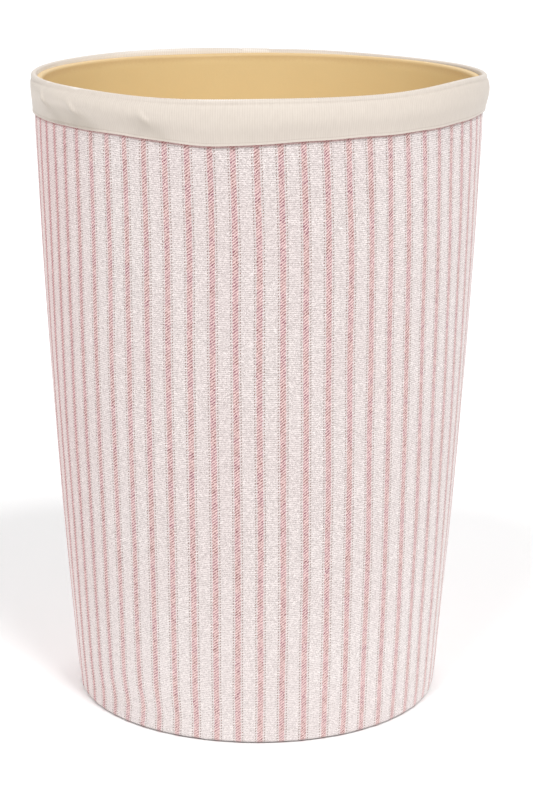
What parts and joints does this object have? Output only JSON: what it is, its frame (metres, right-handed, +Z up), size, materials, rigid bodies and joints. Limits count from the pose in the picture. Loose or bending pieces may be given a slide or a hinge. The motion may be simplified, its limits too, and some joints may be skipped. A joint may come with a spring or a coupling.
{
  "type": "fabric-covered wastepaper bin",
  "caption": "Tall tapered round open-topped bin with a rolled board body, paper lining, striped ticking cover and a folded ribbon rim.",
  "frame": {"origin": "centre of the underside, on the plane that the bin stands on", "axes": "+Z up along the bin's axis; -Y is the front and +Y the back, where the laps of the cloth and the ribbon and the board's butt joint are"},
  "size_m": [0.2158, 0.2163, 0.305],
  "materials": {
    "board": "matte",
    "tape": "satin",
    "lining": "satin",
    "wadding": "matte",
    "ticking": "matte",
    "ribbon": "satin",
    "underside": "matte"
  },
  "bodies": {
    "root": {"wall_board": "board", "base_board": "board", "wall_joint_tape": "tape", "base_joint_tape": "tape", "wall_lining": "lining", "floor_lining": "lining", "cover_wadding": "wadding", "cover_cloth": "ticking", "rim_ribbon": "ribbon", "underside_cover": "underside"}
  },
  "joints": []
}
